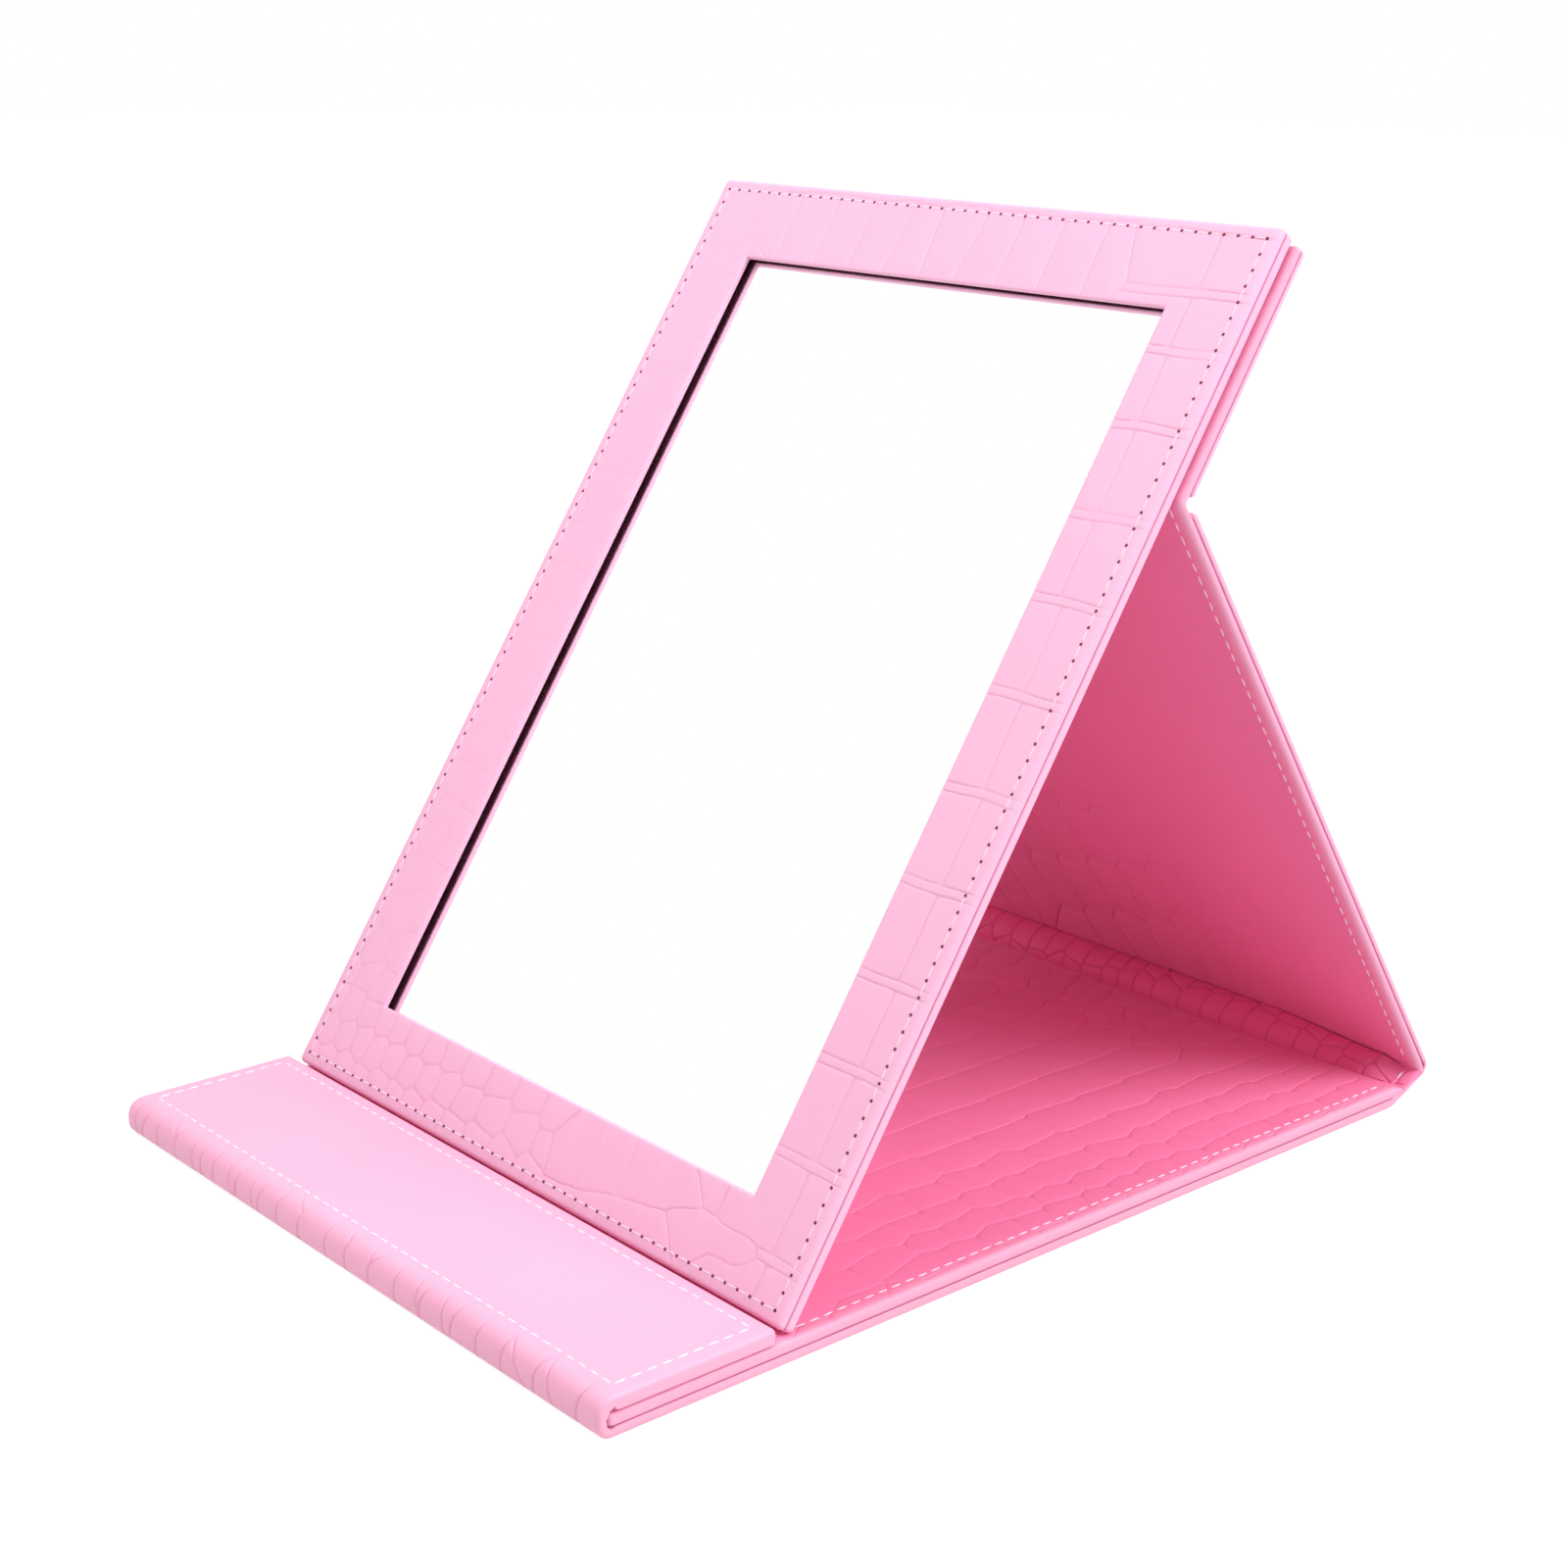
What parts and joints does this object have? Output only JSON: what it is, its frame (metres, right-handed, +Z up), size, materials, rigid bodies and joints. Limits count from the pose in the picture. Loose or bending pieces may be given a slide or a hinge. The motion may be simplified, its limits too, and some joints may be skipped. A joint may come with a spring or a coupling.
{
  "type": "folding makeup mirror",
  "caption": "Free-standing folding makeup mirror: a leather-covered folio with a framed rectangular glass, a hinged rear leg and a closing flap that stops its foot.",
  "frame": {"origin": "middle of the underside of the base panel, on the table", "axes": "+Z up, +Y to the rear, +X to the right of someone facing the glass"},
  "size_m": [0.193, 0.2775, 0.229],
  "materials": {
    "embossed_leather": "glossy scale emboss",
    "smooth_leather": "smooth satin",
    "white_thread": "waxed thread",
    "pale_thread": "waxed thread",
    "grey_board": "pressed board",
    "paper_tape": "double-sided tape",
    "silvered_glass": "silvered float glass",
    "steel": "plated"
  },
  "bodies": {
    "base": {"base_outer_cover": "embossed_leather", "base_board": "grey_board", "base_liner_board": "grey_board", "base_inner_cover": "embossed_leather", "base_thread": "white_thread", "base_rear_crease": "embossed_leather", "base_front_crease": "embossed_leather"},
    "rear_spine": {"rear_spine_cover": "embossed_leather", "rear_spine_board": "grey_board", "rear_spine_lining": "embossed_leather", "leg_hinge_crease": "embossed_leather"},
    "leg": {"leg_outer_cover": "embossed_leather", "leg_board": "grey_board", "leg_liner_board": "grey_board", "leg_inner_cover": "embossed_leather", "leg_thread": "white_thread", "leg_fold_crease": "embossed_leather"},
    "mirror_head": {"upper_outer_cover": "embossed_leather", "upper_board": "grey_board", "upper_liner_board": "grey_board", "upper_inner_cover": "embossed_leather", "upper_thread": "white_thread", "closure_keepers": "steel", "mount_tape": "paper_tape", "mirror_front_cover": "embossed_leather", "mirror_thread": "pale_thread", "frame_board_bottom": "grey_board", "frame_board_top": "grey_board", "frame_board_left": "grey_board", "frame_board_right": "grey_board", "mirror_back_cover": "embossed_leather", "mirror_back_board": "grey_board", "glass_surround": "grey_board", "glass_tape": "paper_tape", "mirror_glass": "silvered_glass"},
    "front_spine": {"front_spine_cover": "embossed_leather", "front_spine_lining": "embossed_leather", "flap_hinge_crease": "embossed_leather"},
    "flap": {"flap_top_cover": "smooth_leather", "flap_board": "grey_board", "flap_lining": "embossed_leather", "flap_thread": "white_thread", "flap_magnets": "steel"}
  },
  "joints": [
    {"name": "leg_hinge", "type": "hinge", "parent": "rear_spine", "child": "leg", "pos_m": [0, 0.14271, 0.00743], "axis": [1, 0, 0], "range_deg": [-100.65, 0]},
    {"name": "rear_hinge", "type": "hinge", "parent": "base", "child": "rear_spine", "pos_m": [0, 0.1322, 0.00275], "axis": [1, 0, 0], "range_deg": [-24, 0]},
    {"name": "leg_fold", "type": "hinge", "parent": "leg", "child": "mirror_head", "pos_m": [0, 0.0296, 0.17098], "axis": [1, 0, 0], "range_deg": [0, 67.66]},
    {"name": "front_hinge", "type": "hinge", "parent": "base", "child": "front_spine", "pos_m": [0, -0.1322, 0.002], "axis": [1, 0, 0], "range_deg": [0, 90]},
    {"name": "flap_hinge", "type": "hinge", "parent": "front_spine", "child": "flap", "pos_m": [0, -0.1322, 0.0076], "axis": [1, 0, 0], "range_deg": [0, 90]}
  ],
  "couplings": [
    {"joint": "rear_hinge", "follows": "leg_hinge", "ratio": 0.23843},
    {"joint": "leg_fold", "follows": "leg_hinge", "ratio": -0.67219},
    {"joint": "flap_hinge", "follows": "front_hinge", "ratio": 1}
  ]
}
